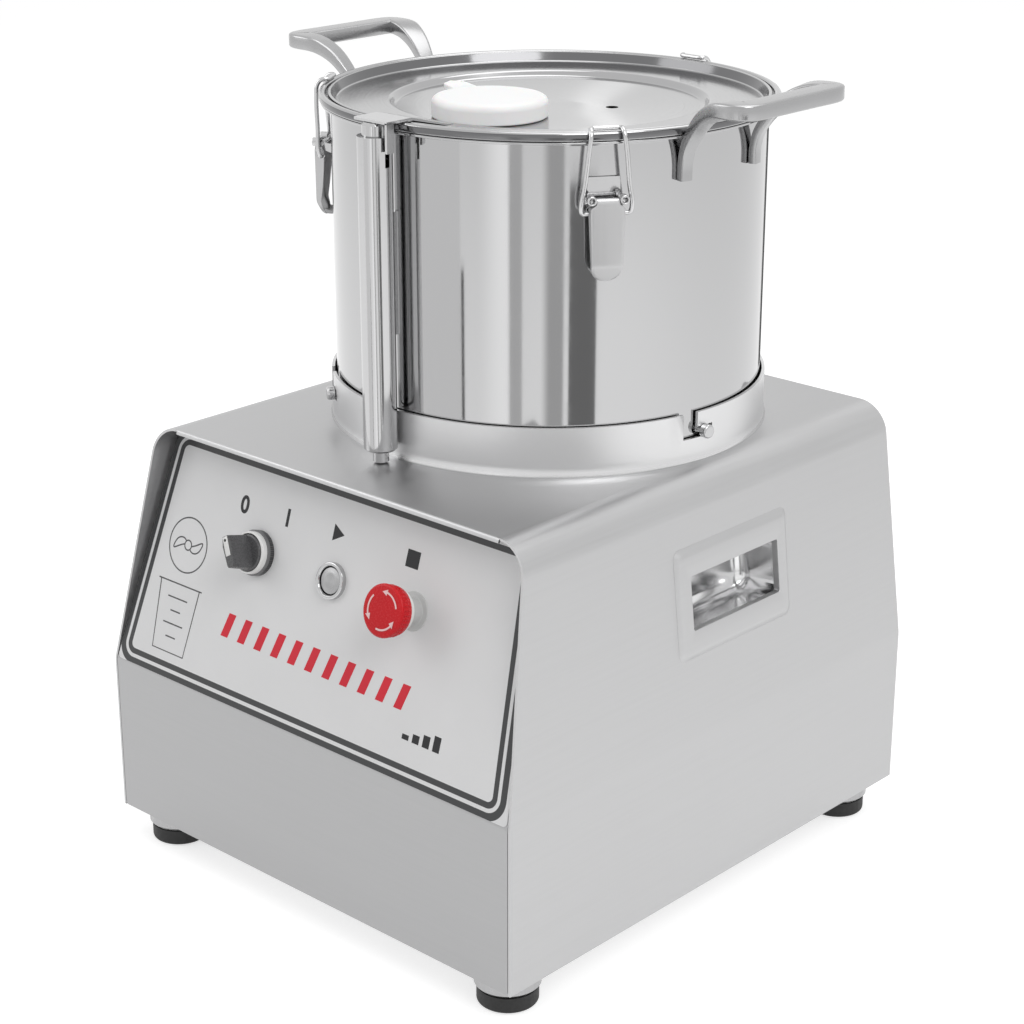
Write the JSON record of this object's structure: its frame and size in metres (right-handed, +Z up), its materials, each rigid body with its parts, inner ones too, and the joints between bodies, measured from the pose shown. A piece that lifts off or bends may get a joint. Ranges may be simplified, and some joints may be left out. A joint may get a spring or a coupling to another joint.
{
  "type": "food cutter mixer",
  "caption": "Bench food cutter mixer: slanted steel casing with control panel and side grips, motor inside, and a locked-on bowl with knives, clamped lid, feed cap and handles.",
  "frame": {"origin": "on the floor under the middle of the casing", "axes": "+Z up, the control panel faces -Y, +X to the right seen from the front"},
  "size_m": [0.37, 0.37, 0.4954],
  "materials": {
    "casing": "fine satin brushed stainless sheet",
    "film": "matt light grey printed film",
    "foot_steel": "satin turned steel",
    "foot_rubber": "matt black rubber",
    "collar": "satin steel brushed round",
    "bowl": "mirror polished stainless",
    "lid": "polished stainless, faintly spun",
    "handles": "satin cast stainless",
    "bright_steel": "polished stainless",
    "cap": "white moulded plastic",
    "black_plastic": "black moulded plastic",
    "pale_plastic": "white moulded plastic",
    "red_plastic": "red moulded plastic",
    "start_metal": "satin metal button",
    "block_plastic": "dark grey moulded plastic",
    "capacitor": "drawn aluminium can",
    "motor_paint": "grey enamel",
    "motor_iron": "laminated iron with varnished windings",
    "shaft_steel": "ground steel",
    "knife_steel": "ground and polished knife steel"
  },
  "bodies": {
    "base": {"housing_cover": "casing", "front_panel": "casing", "control_film": "film", "rear_panel": "casing", "base_tray": "casing", "foot_cups": "foot_steel", "foot_pads": "foot_rubber", "grip_pocket_right": "casing", "grip_pocket_left": "casing", "bowl_collar": "collar", "motor_plate": "casing", "motor_upper_bell": "motor_paint", "motor_shell": "motor_paint", "motor_lower_bell": "motor_paint", "motor_bearings": "shaft_steel", "motor_stator": "motor_iron", "shaft_seal": "foot_rubber", "motor_bolts": "shaft_steel", "fan_cowl": "motor_paint", "run_capacitor": "capacitor", "motor_contactor": "block_plastic", "lid_sensor": "block_plastic", "cable_gland": "black_plastic", "panel_screws": "bright_steel", "selector_barrel": "black_plastic", "selector_ring": "pale_plastic", "start_ring": "bright_steel", "stop_foot": "black_plastic", "contact_blocks": "block_plastic", "barrel_nuts": "bright_steel"},
    "rotor": {"motor_rotor": "motor_iron", "drive_shaft": "shaft_steel", "cooling_fan": "block_plastic", "knife_hub": "knife_steel", "knife_nut": "black_plastic", "knife_blades": "knife_steel"},
    "bowl": {"bowl_shell": "bowl", "bowl_chimney": "bowl", "bayonet_studs": "bright_steel", "handle_right": "handles", "handle_left": "handles", "rod_tube": "bright_steel", "rod_spring": "bright_steel", "latch_brackets": "bright_steel"},
    "lid": {"lid": "lid", "lid_tab": "lid", "lid_seal": "foot_rubber"},
    "cap": {"feed_cap": "cap"},
    "rod": {"safety_rod": "bright_steel"},
    "selector": {"selector_knob": "black_plastic"},
    "start": {"start_button": "start_metal"},
    "stop_stem": {"stop_stem": "black_plastic"},
    "stop_head": {"stop_head": "red_plastic"},
    "lever_front": {"latch_lever_front": "bright_steel"},
    "bail_front": {"latch_bail_front": "bright_steel"},
    "lever_left": {"latch_lever_left": "bright_steel"},
    "bail_left": {"latch_bail_left": "bright_steel"},
    "lever_back": {"latch_lever_back": "bright_steel"},
    "bail_back": {"latch_bail_back": "bright_steel"}
  },
  "joints": [
    {"name": "motor_spin", "type": "hinge", "parent": "base", "child": "rotor", "pos_m": [0, 0.033, 0.2], "axis": [0, 0, 1], "continuous": true},
    {"name": "bowl_turn", "type": "hinge", "parent": "base", "child": "bowl", "pos_m": [0, 0.033, 0.2774], "axis": [0, 0, 1], "range_deg": [-4.6, 1.5]},
    {"name": "lid_lift", "type": "slide", "parent": "bowl", "child": "lid", "axis": [0, 0, 1], "range_m": [0, 0.15]},
    {"name": "cap_lift", "type": "slide", "parent": "lid", "child": "cap", "axis": [0, 0, 1], "range_m": [0, 0.05]},
    {"name": "rod_rise", "type": "slide", "parent": "bowl", "child": "rod", "axis": [0, 0, 1], "range_m": [0, 0.008]},
    {"name": "selector_turn", "type": "hinge", "parent": "base", "child": "selector", "pos_m": [-0.062, -0.15603, 0.21653], "axis": [0, 0.9521, -0.3057], "range_deg": [0, 60]},
    {"name": "start_press", "type": "slide", "parent": "base", "child": "start", "axis": [0, 0.9521, -0.3057], "range_m": [0, 0.0025], "stiffness_N_per_m": 600, "springref_m": -0.001},
    {"name": "stop_press", "type": "slide", "parent": "base", "child": "stop_stem", "axis": [0, 0.9521, -0.3057], "range_m": [0, 0.004]},
    {"name": "stop_twist", "type": "hinge", "parent": "stop_stem", "child": "stop_head", "pos_m": [0.069, -0.15603, 0.21653], "axis": [0, 0.9521, -0.3057], "range_deg": [0, 35]},
    {"name": "lever_front_open", "type": "hinge", "parent": "bowl", "child": "lever_front", "pos_m": [0.11427, -0.04701, 0.4394], "axis": [-0.5736, -0.8192, 0], "range_deg": [0, 120]},
    {"name": "bail_front_swing", "type": "hinge", "parent": "lever_front", "child": "bail_front", "pos_m": [0.11345, -0.04644, 0.4324], "axis": [-0.5736, -0.8192, 0], "range_deg": [-156, 0]},
    {"name": "lever_left_open", "type": "hinge", "parent": "bowl", "child": "lever_left", "pos_m": [-0.1183, -0.04092, 0.4394], "axis": [-0.5299, 0.848, 0], "range_deg": [0, 120]},
    {"name": "bail_left_swing", "type": "hinge", "parent": "lever_left", "child": "bail_left", "pos_m": [-0.11746, -0.04039, 0.4324], "axis": [-0.5299, 0.848, 0], "range_deg": [-156, 0]},
    {"name": "lever_back_open", "type": "hinge", "parent": "bowl", "child": "lever_back", "pos_m": [0, 0.1725, 0.4394], "axis": [1, 0, 0], "range_deg": [0, 120]},
    {"name": "bail_back_swing", "type": "hinge", "parent": "lever_back", "child": "bail_back", "pos_m": [0, 0.1715, 0.4324], "axis": [1, 0, 0], "range_deg": [-156, 0]}
  ],
  "couplings": [
    {"joint": "rod_rise", "follows": "lid_lift", "ratio": 0.053333},
    {"joint": "bail_front_swing", "follows": "lever_front_open", "ratio": -1.3},
    {"joint": "bail_left_swing", "follows": "lever_left_open", "ratio": -1.3},
    {"joint": "bail_back_swing", "follows": "lever_back_open", "ratio": -1.3}
  ]
}
